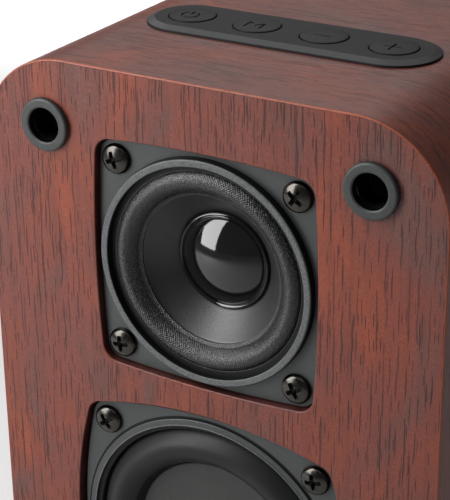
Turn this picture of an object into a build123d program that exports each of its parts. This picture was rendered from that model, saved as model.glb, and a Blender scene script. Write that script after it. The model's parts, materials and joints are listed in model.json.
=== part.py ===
from build123d import *
import math
import os

# Small active desktop loudspeaker: a wood-veneered box with a full-range driver above a
# passive bass radiator, grille sockets in the front corners and four buttons on the top.
# Millimetres. +X is the listener's right, the front faces -Y, +Z is up, and the origin is
# at the centre of the object's box, on the table.

# ---- cabinet ----
WIDTH = 132.0
DEPTH = 130.0
HEIGHT = 195.0
CORNER_RADIUS = 25.0
WALL = 9.0
FOOT_HEIGHT = 3.0
FOOT_RADIUS = 7.0
BAFFLE = 12.0
REAR_PANEL = 9.0
REAR_INSET = 1.0
BLOCK = 14.0
WOOD_SCREW = (3.1, 1.5, 20.0)
BLOCK_LENGTH = 20.0

FRONT = -DEPTH / 2
BACK = DEPTH / 2
BOTTOM = FOOT_HEIGHT
TOP = FOOT_HEIGHT + HEIGHT
MIDDLE = (TOP + BOTTOM) / 2
BAFFLE_BACK = FRONT + BAFFLE
REAR_FACE = BACK - REAR_INSET
REAR_INNER = REAR_FACE - REAR_PANEL
INNER_WIDTH = WIDTH - 2 * WALL
INNER_HEIGHT = HEIGHT - 2 * WALL
INNER_RADIUS = CORNER_RADIUS - WALL
GLUE_GAP = 0.1

# ---- drive units, both set into shallow recesses of the front ----
DRIVER_Z = TOP - 50.0
RADIATOR_Z = DRIVER_Z - 82.8
RECESS = 5.5
FRAME_SINK = 2.0
FLANGE = 2.5
FACE = FRONT + FRAME_SINK
FLANGE_BACK = FACE + FLANGE
RECESS_FLOOR = FRONT + RECESS
LIP = 0.4

DRIVER_PITCH = 52.0
DRIVER_RECESS = (31.1, 32.5, 4.7)
DRIVER_FLANGE = (30.65, 32.05, 4.3)
DRIVER_SEAL = (30.3, 31.7, 4.0)
DRIVER_CUTOUT = 28.2
DRIVER_OPENING = 26.4
DRIVER_LIP_RADIUS = 30.9
DRIVER_RING = (28.7, 30.8, 2.3)
ROLL_OUTER = 27.6
CONE_RADIUS = 21.3
CONE_EDGE = FRONT + 3.5
COIL_RADIUS = 10.0
CONE_SLOPE = 0.912
CAP_RADIUS = 13.2
CAP_HEIGHT = 4.5
MOTOR_FRONT = FRONT + 29.0
TOP_PLATE = 4.0
MAGNET = 8.0
BACK_PLATE = 4.0
MOTOR_RADIUS = 22.0

RADIATOR_PITCH = 63.5
RADIATOR_RECESS = (36.5, 42.0, 5.0)
RADIATOR_FLANGE = (36.0, 40.7, 4.5)
RADIATOR_SEAL = (35.6, 40.2, 4.2)
RADIATOR_CUTOUT = 38.2
RADIATOR_OPENING = 36.0
RADIATOR_LIP_RADIUS = 39.9
RADIATOR_RING = (37.3, 39.9, 1.2)
RADIATOR_ROLL = (28.3, 36.4)
DISC_RADIUS = 24.4
DISC_FACE = FRONT + 6.5

SCREW_HEAD = 4.1
SCREW_CROWN = 2.3
SCREW_SHANK = 1.5
SCREW_LENGTH = 8.2
SCREW_HOLE = 1.8
PILOT = 1.55

# ---- grille sockets ----
SOCKET_X = 46.2
SOCKET_INSET = 17.7
SOCKET_FLANGE = 7.15
SOCKET_PROUD = 1.5
SOCKET_BODY = 6.0
SOCKET_BORE = 4.55
SOCKET_DEPTH = 9.0
SOCKET_LENGTH = 11.0

# ---- control panel and its buttons ----
PANEL_LENGTH = 84.0
PANEL_WIDTH = 24.2
PANEL_PROUD = 1.5
PANEL_BEVEL = 0.85
PANEL_Y = FRONT + 45.4
POCKET = (78.0, 18.0)
SKIRT = (77.6, 17.6)
SKIRT_DEPTH = 5.0
BUTTON_PITCH = 19.8
BUTTON_RADIUS = 6.3
BUTTON_HOLE = 6.5
BUTTON_EDGE = 1.6
BUTTON_CROWN = 0.5
BUTTON_FLANGE = 7.2
FLANGE_POCKET = (7.6, 2.0)
SYMBOL_DEPTH = 0.35
STROKE = 0.75
STEM_RADIUS = 2.0
PLUNGER_RADIUS = 1.7
PLUNGER_TOP = TOP - 8.0
PLUNGER_LENGTH = 3.3
SWITCH = (6.0, 3.4)
SWITCH_HOLE = (1.75, 1.5)
BOARD = 1.6
BUTTON_BOARD = (76.0, 15.0)
BUTTON_BOARD_TOP = TOP - 13.9
POST_RADIUS = 2.2
SMALL_SHANK = 1.0
SMALL_PILOT = 1.02

# ---- terminal plate and electronics ----
PLATE = (100.0, 60.0, 2.5)
PLATE_Z = 54.0
PLATE_SCREW = (2.6, 1.1, 10.0)
PLATE_PILOT = 1.13
PLATE_FACE = REAR_FACE + PLATE[2]
REAR_CUTOUT = (82.0, 46.0)
AMP_BOARD = (78.0, 42.0)
AMP_GAP = 14.0
AMP_BACK = REAR_FACE - AMP_GAP
AMP_FRONT = AMP_BACK - BOARD
JACK_Z = PLATE_Z - 8.0
AUX_X = 0.0
LINK_X = -26.0
INLET_X = 26.0
JACK_BARREL = 3.95
JACK_BORE = 1.8
JACK_DEPTH = 12.0
INLET_BORE = 3.2
INLET_PIN = 1.05
INLET_DEPTH = 9.0


# ---------------------------------------------------------------- shared helpers
def front_plane(y, z=0.0):
    """A plane across the object at depth y, seen from the front: +X right, +Z up."""
    return Plane(origin=(0, y, z), x_dir=(1, 0, 0), z_dir=(0, -1, 0))


def side_section(z):
    """The level plane through a drive unit's axis: radius along X, depth along Y."""
    return Plane(origin=(0, 0, z), x_dir=(1, 0, 0), z_dir=(0, 0, 1))


def bowed_square(half_corner, half_side, fillet_radius):
    """A square outline whose sides bulge outwards a little, with rounded corners."""
    with BuildSketch() as outline:
        with BuildLine():
            for turn in range(4):
                angle = 90 * turn
                ends = [Vector(half_corner, -half_corner), Vector(half_corner, half_corner)]
                start, stop = [end.rotate(Axis.Z, angle) for end in ends]
                middle = Vector(half_side, 0).rotate(Axis.Z, angle)
                ThreePointArc(start, middle, stop)
        make_face()
        fillet(outline.vertices(), fillet_radius)
    return outline.sketch


def turned(points, z):
    """A body turned about a drive unit's axis from (radius, depth) points."""
    with BuildPart() as body:
        with BuildSketch(side_section(z)):
            with BuildLine():
                Polyline(*points, close=True)
            make_face()
        revolve(axis=Axis((0, 0, z), (0, 1, 0)))
    return body.part


def rolled(lip, outer, apex, inner, tail, thickness, z):
    """A surround: a flat outer lip, a half roll and a short inner lip, in even thickness."""
    with BuildPart() as body:
        with BuildSketch(side_section(z)):
            with BuildLine():
                shift = Vector(0, thickness)
                Line(lip, outer)
                ThreePointArc(outer, apex, inner)
                Line(inner, tail)
                Line(tail, Vector(*tail) + shift)
                Line(Vector(*tail) + shift, Vector(*inner) + shift)
                ThreePointArc(Vector(*inner) + shift, Vector(*apex) + shift, Vector(*outer) + shift)
                Line(Vector(*outer) + shift, Vector(*lip) + shift)
                Line(Vector(*lip) + shift, lip)
            make_face()
        revolve(axis=Axis((0, 0, z), (0, 1, 0)))
    return body.part


def write(part, name):
    """Label one finished piece and write it."""
    part.label = name
    export_step(part, f"parts/{name}.step")


def corner_places(half_x, half_z):
    return [(x, z) for x in (-half_x, half_x) for z in (-half_z, half_z)]


# ---------------------------------------------------------------- cabinet
def cabinet_shell():
    with BuildPart() as shell:
        with BuildSketch(front_plane(BACK, MIDDLE)):
            RectangleRounded(WIDTH, HEIGHT, CORNER_RADIUS)
            RectangleRounded(INNER_WIDTH, INNER_HEIGHT, INNER_RADIUS, mode=Mode.SUBTRACT)
        extrude(amount=BACK - BAFFLE_BACK)
        with BuildSketch(Plane.XY.offset(TOP)):
            with Locations((0, PANEL_Y)):
                SlotOverall(*POCKET)
        extrude(amount=-WALL, mode=Mode.SUBTRACT)
    return shell.part


def front_baffle():
    with BuildPart() as baffle:
        with BuildSketch(front_plane(BAFFLE_BACK, MIDDLE)):
            RectangleRounded(WIDTH, HEIGHT, CORNER_RADIUS)
        extrude(amount=BAFFLE)
        rim = baffle.faces().filter_by(Axis.Y).sort_by(Axis.Y)[0].outer_wire().edges()
        chamfer(rim, 0.7)
        units = [
            (DRIVER_Z, DRIVER_RECESS, DRIVER_CUTOUT, DRIVER_PITCH),
            (RADIATOR_Z, RADIATOR_RECESS, RADIATOR_CUTOUT, RADIATOR_PITCH),
        ]
        for z, recess, cutout, pitch in units:
            with BuildSketch(front_plane(FRONT, z)):
                add(bowed_square(*recess))
            extrude(amount=-RECESS, mode=Mode.SUBTRACT)
            with BuildSketch(front_plane(FRONT, z)):
                Circle(cutout)
            extrude(amount=-BAFFLE, mode=Mode.SUBTRACT)
            with BuildSketch(front_plane(RECESS_FLOOR, z)):
                with GridLocations(pitch, pitch, 2, 2):
                    Circle(PILOT)
            extrude(amount=-(BAFFLE - RECESS - 1.0), mode=Mode.SUBTRACT)
        with BuildSketch(front_plane(FRONT, MIDDLE)):
            with GridLocations(2 * SOCKET_X, HEIGHT - 2 * SOCKET_INSET, 2, 2):
                Circle(SOCKET_BODY)
        extrude(amount=-BAFFLE, mode=Mode.SUBTRACT)
    return baffle.part


SCREW_PLACES = corner_places(INNER_WIDTH / 2 - 7.5, INNER_HEIGHT / 2 - 7.5)


def rear_panel():
    with BuildPart() as panel:
        with BuildSketch(front_plane(REAR_FACE, MIDDLE)):
            RectangleRounded(
                INNER_WIDTH - 2 * GLUE_GAP, INNER_HEIGHT - 2 * GLUE_GAP, INNER_RADIUS - GLUE_GAP
            )
        extrude(amount=REAR_PANEL)
        with BuildSketch(front_plane(REAR_FACE, PLATE_Z)):
            RectangleRounded(*REAR_CUTOUT, 3)
        extrude(amount=REAR_PANEL, mode=Mode.SUBTRACT)
        with BuildSketch(front_plane(REAR_FACE, PLATE_Z)):
            with Locations(*PLATE_SCREWS):
                Circle(PLATE_PILOT)
        extrude(amount=REAR_PANEL - 1, mode=Mode.SUBTRACT)
        for x, z in SCREW_PLACES:
            with BuildSketch(side_section(MIDDLE + z)):
                with BuildLine():
                    Polyline(
                        (x, REAR_INNER), (x + 1.6, REAR_INNER), (x + 1.6, REAR_FACE - 1.6),
                        (x + 3.2, REAR_FACE), (x, REAR_FACE), close=True,
                    )
                make_face()
            revolve(axis=Axis((x, 0, MIDDLE + z), (0, 1, 0)), mode=Mode.SUBTRACT)
    return panel.part


def corner_blocks():
    """Four wooden blocks glued into the rear corners, which take the rear panel's screws."""
    with BuildPart() as blocks:
        with BuildSketch(front_plane(REAR_INNER, MIDDLE)):
            with GridLocations(INNER_WIDTH - BLOCK, INNER_HEIGHT - BLOCK, 2, 2):
                Rectangle(BLOCK, BLOCK)
            RectangleRounded(INNER_WIDTH, INNER_HEIGHT, INNER_RADIUS, mode=Mode.INTERSECT)
        extrude(amount=BLOCK_LENGTH)
        with BuildSketch(front_plane(REAR_INNER, MIDDLE)):
            with Locations(*SCREW_PLACES):
                Circle(PILOT)
        extrude(amount=BLOCK_LENGTH - 4, mode=Mode.SUBTRACT)
    return blocks.part


def countersunk_screws(places, face_y, level, head, shank, length):
    """Flat-head screws driven in from behind, flush with the face at face_y."""
    with BuildPart() as screws:
        for x, z in places:
            with BuildSketch(side_section(level + z)):
                with BuildLine():
                    Polyline(
                        (x, face_y), (x + head, face_y), (x + shank, face_y - head + shank),
                        (x + shank, face_y - length + shank), (x, face_y - length), close=True,
                    )
                make_face()
            revolve(axis=Axis((x, 0, level + z), (0, 1, 0)))
        with BuildSketch(front_plane(face_y, level)):
            with Locations(*places):
                Rectangle(1.3 * head, 0.22 * head)
                Rectangle(0.22 * head, 1.3 * head)
        extrude(amount=0.4 * head, mode=Mode.SUBTRACT)
    return screws.part


def rubber_feet():
    with BuildPart() as feet:
        with BuildSketch(Plane.XY):
            with GridLocations(90, 92, 2, 2):
                Circle(FOOT_RADIUS)
        extrude(amount=FOOT_HEIGHT)
        fillet(feet.faces().sort_by(Axis.Z)[0:4].edges(), 0.9)
    return feet.part


def grille_socket(x, z):
    """A rubber cup whose rounded collar stands proud of the front and takes a grille peg."""
    with BuildPart() as socket:
        with BuildSketch(front_plane(FRONT, z)):
            with Locations((x, 0)):
                Circle(SOCKET_FLANGE)
        extrude(amount=SOCKET_PROUD)
        fillet(socket.faces().sort_by(Axis.Y)[0].edges(), 0.9)
        with BuildSketch(front_plane(FRONT, z)):
            with Locations((x, 0)):
                Circle(SOCKET_BODY)
        extrude(amount=-SOCKET_LENGTH)
        with BuildSketch(front_plane(FRONT - SOCKET_PROUD, z)):
            with Locations((x, 0)):
                Circle(SOCKET_BORE)
        extrude(amount=-SOCKET_DEPTH, mode=Mode.SUBTRACT)
    return socket.part


# ---------------------------------------------------------------- control panel and buttons
BUTTON_PLACES = [(BUTTON_PITCH * (place - 1.5), PANEL_Y) for place in range(4)]
POST_PLACES = [(BUTTON_PITCH * place, PANEL_Y) for place in (-1, 0, 1)]


def control_panel():
    with BuildPart() as panel:
        with BuildSketch(Plane.XY.offset(TOP)):
            with Locations((0, PANEL_Y)):
                SlotOverall(PANEL_LENGTH, PANEL_WIDTH)
        extrude(amount=PANEL_PROUD)
        chamfer(panel.faces().sort_by(Axis.Z)[-1].edges(), PANEL_BEVEL)
        with BuildSketch(Plane.XY.offset(TOP)):
            with Locations((0, PANEL_Y)):
                SlotOverall(*SKIRT)
        extrude(amount=-SKIRT_DEPTH)
        with BuildSketch(Plane.XY.offset(TOP - SKIRT_DEPTH)):
            with Locations(*POST_PLACES):
                Circle(POST_RADIUS)
        extrude(amount=BUTTON_BOARD_TOP - TOP + SKIRT_DEPTH)
        with BuildSketch(Plane.XY.offset(TOP + PANEL_PROUD)):
            with Locations(*BUTTON_PLACES):
                Circle(BUTTON_HOLE)
        extrude(amount=-(PANEL_PROUD + SKIRT_DEPTH), mode=Mode.SUBTRACT)
        with BuildSketch(Plane.XY.offset(TOP - SKIRT_DEPTH)):
            with Locations(*BUTTON_PLACES):
                Circle(FLANGE_POCKET[0])
        extrude(amount=FLANGE_POCKET[1], mode=Mode.SUBTRACT)
        with BuildSketch(Plane.XY.offset(BUTTON_BOARD_TOP)):
            with Locations(*POST_PLACES):
                Circle(SMALL_PILOT)
        extrude(amount=7, mode=Mode.SUBTRACT)
    return panel.part


def power_symbol():
    with BuildSketch() as symbol:
        Circle(2.3)
        Circle(2.3 - STROKE, mode=Mode.SUBTRACT)
        with Locations((0, 2)):
            Rectangle(2.0, 3.0, mode=Mode.SUBTRACT)
        with Locations((0, 1.5)):
            Rectangle(STROKE, 2.4)
    return symbol.sketch


def mode_symbol():
    """Four joined strokes: two uprights and a valley between them."""
    with BuildSketch() as symbol:
        with Locations((-1.8, 0), (1.8, 0)):
            Rectangle(STROKE, 4.2)
        for side in (-1, 1):
            with BuildLine():
                Polyline(
                    (0, -1.1), (side * 1.6, 2.1), (side * 2.15, 2.1), (side * 2.15, 1.4),
                    (0, -2.0), close=True,
                )
            make_face()
    return symbol.sketch


def minus_symbol():
    with BuildSketch() as symbol:
        Rectangle(4.0, STROKE)
    return symbol.sketch


def plus_symbol():
    with BuildSketch() as symbol:
        Rectangle(4.0, STROKE)
        Rectangle(STROKE, 4.0)
    return symbol.sketch


def dome_middle(radius, edge, crown):
    """The point of a round dome's profile at half its radius."""
    rise = crown - edge
    sphere = (radius**2 + rise**2) / (2 * abs(rise))
    return (radius / 2, crown - math.copysign(sphere - math.sqrt(sphere**2 - radius**2 / 4), rise))


def button(x, symbol):
    """A slightly domed cap, a flange that stops it under the panel, and a pressing stem."""
    edge = TOP + BUTTON_EDGE
    crown = edge + BUTTON_CROWN
    stop = TOP - SKIRT_DEPTH + FLANGE_POCKET[1] - 0.05
    foot = stop - 1.0
    with BuildPart() as cap:
        with BuildSketch(Plane(origin=(x, PANEL_Y, 0), x_dir=(1, 0, 0), z_dir=(0, -1, 0))):
            with BuildLine():
                ThreePointArc((0, crown), dome_middle(BUTTON_RADIUS, edge, crown), (BUTTON_RADIUS, edge))
                Polyline((BUTTON_RADIUS, edge), (BUTTON_RADIUS, stop), (0, stop), (0, crown))
            make_face()
        revolve(axis=Axis((x, PANEL_Y, 0), (0, 0, 1)))
        with BuildSketch(Plane.XY.offset(stop)):
            with Locations((x, PANEL_Y)):
                Circle(BUTTON_FLANGE)
        extrude(amount=foot - stop)
        with BuildSketch(Plane.XY.offset(foot)):
            with Locations((x, PANEL_Y)):
                Circle(STEM_RADIUS)
        extrude(amount=PLUNGER_TOP + 0.02 - foot)
        with BuildSketch(Plane.XY.offset(crown + 1)):
            with Locations((x, PANEL_Y)):
                add(symbol)
        extrude(amount=-(1 + SYMBOL_DEPTH), mode=Mode.SUBTRACT)
    return cap.part


def switch_plunger(x):
    with BuildPart() as plunger:
        with BuildSketch(Plane.XY.offset(PLUNGER_TOP)):
            with Locations((x, PANEL_Y)):
                Circle(PLUNGER_RADIUS)
        extrude(amount=-PLUNGER_LENGTH)
        chamfer(plunger.faces().sort_by(Axis.Z)[-1].edges(), 0.2)
    return plunger.part


def button_board():
    with BuildPart() as board:
        with BuildSketch(Plane.XY.offset(BUTTON_BOARD_TOP)):
            with Locations((0, PANEL_Y)):
                RectangleRounded(*BUTTON_BOARD, 2)
            with Locations(*POST_PLACES):
                Circle(1.2, mode=Mode.SUBTRACT)
        extrude(amount=-BOARD)
    return board.part


def tact_switches():
    with BuildPart() as switches:
        with BuildSketch(Plane.XY.offset(BUTTON_BOARD_TOP)):
            with Locations(*BUTTON_PLACES):
                RectangleRounded(SWITCH[0], SWITCH[0], 0.5)
        extrude(amount=SWITCH[1])
        with BuildSketch(Plane.XY.offset(BUTTON_BOARD_TOP + SWITCH[1])):
            with Locations(*BUTTON_PLACES):
                Circle(SWITCH_HOLE[0])
        extrude(amount=-SWITCH_HOLE[1], mode=Mode.SUBTRACT)
    return switches.part


def button_board_screws():
    under = BUTTON_BOARD_TOP - BOARD
    with BuildPart() as screws:
        with BuildSketch(Plane.XY.offset(under)):
            with Locations(*POST_PLACES):
                Circle(2.0)
        extrude(amount=-1.3)
        fillet(screws.faces().sort_by(Axis.Z)[0:3].edges(), 0.5)
        with BuildSketch(Plane.XY.offset(under)):
            with Locations(*POST_PLACES):
                Circle(SMALL_SHANK)
        extrude(amount=6.5)
        with BuildSketch(Plane.XY.offset(under - 1.3)):
            with Locations(*POST_PLACES):
                Rectangle(2.2, 0.5)
                Rectangle(0.5, 2.2)
        extrude(amount=0.7, mode=Mode.SUBTRACT)
    return screws.part


# ---------------------------------------------------------------- parts shared by both drive units
def flange_screws(z, pitch):
    """Domed cross-head screws, whose heads rest on the frame of a drive unit."""
    half = pitch / 2
    with BuildPart() as screws:
        for x, dz in corner_places(half, half):
            with BuildSketch(side_section(z + dz)):
                with BuildLine():
                    crown = ThreePointArc(
                        (x, FACE - SCREW_CROWN), (x + 2.6, FACE - 1.75), (x + SCREW_HEAD, FACE - 0.5)
                    )
                    Polyline(
                        crown @ 1, (x + SCREW_HEAD, FACE), (x + SCREW_SHANK, FACE),
                        (x + SCREW_SHANK, FACE + SCREW_LENGTH - 1), (x + 0.5, FACE + SCREW_LENGTH),
                        (x, FACE + SCREW_LENGTH), (x, FACE - SCREW_CROWN),
                    )
                make_face()
            revolve(axis=Axis((x, 0, z + dz), (0, 1, 0)))
        with BuildSketch(front_plane(FACE - SCREW_CROWN, z)):
            with GridLocations(pitch, pitch, 2, 2):
                Rectangle(4.2, 0.95)
                Rectangle(0.95, 4.2)
        extrude(amount=-1.4, mode=Mode.SUBTRACT)
    return screws.part


def seal(z, outline, cutout, pitch):
    with BuildPart() as gasket:
        with BuildSketch(front_plane(RECESS_FLOOR, z)):
            add(bowed_square(*outline))
            Circle(cutout, mode=Mode.SUBTRACT)
            with GridLocations(pitch, pitch, 2, 2):
                Circle(SCREW_HOLE, mode=Mode.SUBTRACT)
        extrude(amount=RECESS_FLOOR - FLANGE_BACK)
    return gasket.part


def trim_ring(z, inner, outer, height):
    with BuildPart() as ring:
        with BuildSketch(front_plane(FACE, z)):
            Circle(outer)
            Circle(inner, mode=Mode.SUBTRACT)
        extrude(amount=height)
        fillet(ring.faces().sort_by(Axis.Y)[0].edges(), 0.35)
    return ring.part


# ---------------------------------------------------------------- full-range driver
def driver_basket():
    """The pressed frame: flange, four legs, a ledge for the spider and a seat for the motor."""
    wall = [
        (DRIVER_OPENING, FLANGE_BACK - 1), (27.9, FLANGE_BACK - 1), (27.9, FLANGE_BACK + 2),
        (24.6, FRONT + 18), (24.6, FRONT + 21.8), (23.2, FRONT + 23.5), (23.2, MOTOR_FRONT),
        (13.5, MOTOR_FRONT), (13.5, MOTOR_FRONT - 1.6), (21.6, MOTOR_FRONT - 1.6),
        (21.6, FRONT + 22.8), (20.2, FRONT + 21.8), (20.2, FRONT + 20.6), (23.0, FRONT + 20.6),
        (23.0, FRONT + 18.2), (DRIVER_OPENING, FRONT + 6.3),
    ]
    with BuildPart() as basket:
        with BuildSketch(front_plane(FLANGE_BACK, DRIVER_Z)):
            add(bowed_square(*DRIVER_FLANGE))
            Circle(DRIVER_OPENING, mode=Mode.SUBTRACT)
            with GridLocations(DRIVER_PITCH, DRIVER_PITCH, 2, 2):
                Circle(SCREW_HOLE, mode=Mode.SUBTRACT)
        extrude(amount=FLANGE)
        with BuildSketch(front_plane(FACE, DRIVER_Z)):
            Circle(DRIVER_LIP_RADIUS)
        extrude(amount=-LIP, mode=Mode.SUBTRACT)
        add(turned(wall, DRIVER_Z))
        with BuildSketch(front_plane(FRONT + 7.2, DRIVER_Z)):
            with PolarLocations(27, 4):
                Rectangle(14, 24)
        extrude(amount=-10, mode=Mode.SUBTRACT)
    return basket.part


def driver_surround():
    edge = CONE_EDGE - 0.4
    return rolled(
        (DRIVER_LIP_RADIUS - 0.1, FACE), (ROLL_OUTER, FACE), (24.6, FACE - 1.6),
        (CONE_RADIUS + 0.4, edge), (CONE_RADIUS + 0.1, edge), LIP, DRIVER_Z,
    )


def driver_cone():
    neck = CONE_EDGE + CONE_SLOPE * (CONE_RADIUS - COIL_RADIUS)
    thickness = 0.7
    return turned(
        [
            (CONE_RADIUS, CONE_EDGE), (COIL_RADIUS, neck), (COIL_RADIUS, neck + thickness),
            (CONE_RADIUS, CONE_EDGE + thickness),
        ],
        DRIVER_Z,
    )


def driver_dust_cap():
    """A thin dome glued to the cone just outside the voice coil."""
    seat = CONE_EDGE + CONE_SLOPE * (CONE_RADIUS - CAP_RADIUS) - 0.05
    inner_seat = seat + CONE_SLOPE * 0.7
    crown = seat - CAP_HEIGHT
    skin = 0.6
    with BuildPart() as cap:
        with BuildSketch(side_section(DRIVER_Z)):
            with BuildLine():
                ThreePointArc((CAP_RADIUS, seat), dome_middle(CAP_RADIUS, seat, crown), (0, crown))
                Line((0, crown), (0, crown + skin))
                inner_radius = CAP_RADIUS - 0.7
                inner_middle = dome_middle(inner_radius, inner_seat, crown + skin)
                ThreePointArc((0, crown + skin), inner_middle, (inner_radius, inner_seat))
                Line((inner_radius, inner_seat), (CAP_RADIUS, seat))
            make_face()
        revolve(axis=Axis((0, 0, DRIVER_Z), (0, 1, 0)))
    return cap.part


def voice_coil_former():
    neck = CONE_EDGE + CONE_SLOPE * (CONE_RADIUS - COIL_RADIUS)
    end = MOTOR_FRONT + TOP_PLATE + 2.5
    return turned(
        [(COIL_RADIUS - 0.25, neck), (COIL_RADIUS, neck), (COIL_RADIUS, end), (COIL_RADIUS - 0.25, end)],
        DRIVER_Z,
    )


def voice_coil_winding():
    start = MOTOR_FRONT - 2
    end = MOTOR_FRONT + TOP_PLATE + 2
    return turned(
        [(COIL_RADIUS, start), (COIL_RADIUS + 0.6, start), (COIL_RADIUS + 0.6, end), (COIL_RADIUS, end)],
        DRIVER_Z,
    )


def driver_spider():
    """The corrugated centring disc between the former and the basket's ledge."""
    level = FRONT + 20.2
    inner, outer, rim = COIL_RADIUS, 20.2, 22.9
    steps = 40
    waves = 4
    front_side = []
    for step in range(steps + 1):
        share = step / steps
        radius = inner + share * (outer - inner)
        front_side.append((radius, level - 0.8 * math.sin(2 * math.pi * waves * share)))
    back_side = [(radius, y + 0.4) for radius, y in reversed(front_side)]
    return turned(front_side + [(rim, level), (rim, level + 0.4)] + back_side, DRIVER_Z)


def driver_top_plate():
    start = MOTOR_FRONT
    end = MOTOR_FRONT + TOP_PLATE
    return turned([(11.0, start), (MOTOR_RADIUS, start), (MOTOR_RADIUS, end), (11.0, end)], DRIVER_Z)


def driver_magnet():
    start = MOTOR_FRONT + TOP_PLATE
    end = start + MAGNET
    return turned([(13, start), (21, start), (21, end), (13, end)], DRIVER_Z)


def driver_yoke():
    """Back plate and vented pole in one piece."""
    pole = COIL_RADIUS - 0.75
    start = MOTOR_FRONT + TOP_PLATE + MAGNET
    end = start + BACK_PLATE
    tip = MOTOR_FRONT - 0.5
    return turned(
        [
            (2.5, tip), (pole, tip), (pole, start), (MOTOR_RADIUS, start), (MOTOR_RADIUS, end - 1),
            (MOTOR_RADIUS - 1, end), (2.5, end),
        ],
        DRIVER_Z,
    )


STRIP_TOP = DRIVER_Z - 24.8


def driver_terminal_strip():
    with BuildPart() as strip:
        with BuildSketch(Plane.XY.offset(STRIP_TOP)):
            with Locations((0, FRONT + 21)):
                RectangleRounded(14, 6, 0.8)
        extrude(amount=-1.4)
    return strip.part


def driver_tags():
    """Two brass solder tags riveted under the strip."""
    with BuildPart() as tags:
        with BuildSketch(Plane.XY.offset(STRIP_TOP - 1.4)):
            with Locations((-4, FRONT + 24), (4, FRONT + 24)):
                RectangleRounded(2.8, 9, 0.6)
        extrude(amount=-0.6)
    return tags.part


# ---------------------------------------------------------------- passive bass radiator
def radiator_frame():
    skirt = [
        (RADIATOR_OPENING, FLANGE_BACK - 1), (37.9, FLANGE_BACK - 1), (37.9, FRONT + 15),
        (RADIATOR_OPENING, FRONT + 15),
    ]
    with BuildPart() as frame:
        with BuildSketch(front_plane(FLANGE_BACK, RADIATOR_Z)):
            add(bowed_square(*RADIATOR_FLANGE))
            Circle(RADIATOR_OPENING, mode=Mode.SUBTRACT)
            with GridLocations(RADIATOR_PITCH, RADIATOR_PITCH, 2, 2):
                Circle(SCREW_HOLE, mode=Mode.SUBTRACT)
        extrude(amount=FLANGE)
        with BuildSketch(front_plane(FACE, RADIATOR_Z)):
            Circle(RADIATOR_LIP_RADIUS)
        extrude(amount=-LIP, mode=Mode.SUBTRACT)
        add(turned(skirt, RADIATOR_Z))
    return frame.part


def radiator_surround():
    inner, outer = RADIATOR_ROLL
    return rolled(
        (RADIATOR_LIP_RADIUS - 0.1, FACE), (outer, FACE), ((inner + outer) / 2, FACE - 2.4),
        (inner, FACE + 0.6), (inner - 0.9, FACE + 0.6), LIP, RADIATOR_Z,
    )


def radiator_plate():
    """A stiff dished disc: rim under the surround, a short slope and a flat centre."""
    rim = RADIATOR_ROLL[0]
    rim_face = FACE + 0.6 + LIP
    return turned(
        [
            (0, DISC_FACE), (DISC_RADIUS, DISC_FACE), (rim - 0.9, rim_face), (rim, rim_face),
            (rim, rim_face + 1.4), (DISC_RADIUS + 0.9, DISC_FACE + 1.5), (0, DISC_FACE + 1.5),
        ],
        RADIATOR_Z,
    )


def radiator_weight():
    start = DISC_FACE + 1.5
    end = start + 6
    return turned([(0, start), (13, start), (13, end - 1), (12, end), (0, end)], RADIATOR_Z)


# ---------------------------------------------------------------- rear connections and electronics
PLATE_SCREWS = [(x, z) for x in (-45.5, 45.5) for z in (-25.0, 0.0, 25.0)]
STANDOFFS = corner_places(36, 17)


def terminal_plate():
    with BuildPart() as plate:
        with BuildSketch(front_plane(PLATE_FACE, PLATE_Z)):
            RectangleRounded(PLATE[0], PLATE[1], 6)
        extrude(amount=PLATE[2])
        chamfer(plate.faces().sort_by(Axis.Y)[-1].edges(), 0.6)
        with BuildSketch(front_plane(PLATE_FACE, JACK_Z)):
            with Locations((AUX_X, 0), (LINK_X, 0), (INLET_X, 0)):
                Circle(JACK_BARREL + 0.05)
        extrude(amount=PLATE[2], mode=Mode.SUBTRACT)
        for x, z in PLATE_SCREWS:
            with BuildSketch(side_section(PLATE_Z + z)):
                with BuildLine():
                    Polyline(
                        (x, REAR_FACE), (x + 1.2, REAR_FACE), (x + 1.2, PLATE_FACE - 1.5),
                        (x + 2.7, PLATE_FACE), (x, PLATE_FACE), close=True,
                    )
                make_face()
            revolve(axis=Axis((x, 0, PLATE_Z + z), (0, 1, 0)), mode=Mode.SUBTRACT)
    return plate.part


def jack(x, body, bore, depth):
    """A socket on the amplifier board whose barrel fills its hole in the terminal plate."""
    with BuildPart() as socket:
        with BuildSketch(front_plane(REAR_FACE, JACK_Z)):
            with Locations((x, 0)):
                RectangleRounded(*body, 0.8)
        extrude(amount=AMP_GAP)
        with BuildSketch(front_plane(PLATE_FACE, JACK_Z)):
            with Locations((x, 0)):
                Circle(JACK_BARREL)
        extrude(amount=PLATE[2])
        with BuildSketch(front_plane(PLATE_FACE, JACK_Z)):
            with Locations((x, 0)):
                Circle(bore)
        extrude(amount=depth, mode=Mode.SUBTRACT)
    return socket.part


def dc_inlet_pin():
    with BuildPart() as pin:
        with BuildSketch(front_plane(PLATE_FACE - INLET_DEPTH, JACK_Z)):
            with Locations((INLET_X, 0)):
                Circle(INLET_PIN)
        extrude(amount=-(INLET_DEPTH - 1.5))
        fillet(pin.faces().sort_by(Axis.Y)[-1].edges(), 0.4)
    return pin.part


def amplifier_board():
    with BuildPart() as board:
        with BuildSketch(front_plane(AMP_BACK, PLATE_Z)):
            RectangleRounded(*AMP_BOARD, 2)
        extrude(amount=BOARD)
    return board.part


def amplifier_chip():
    with BuildPart() as chip:
        with BuildSketch(front_plane(AMP_FRONT, JACK_Z)):
            Rectangle(14, 14)
        extrude(amount=2)
    return chip.part


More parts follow.
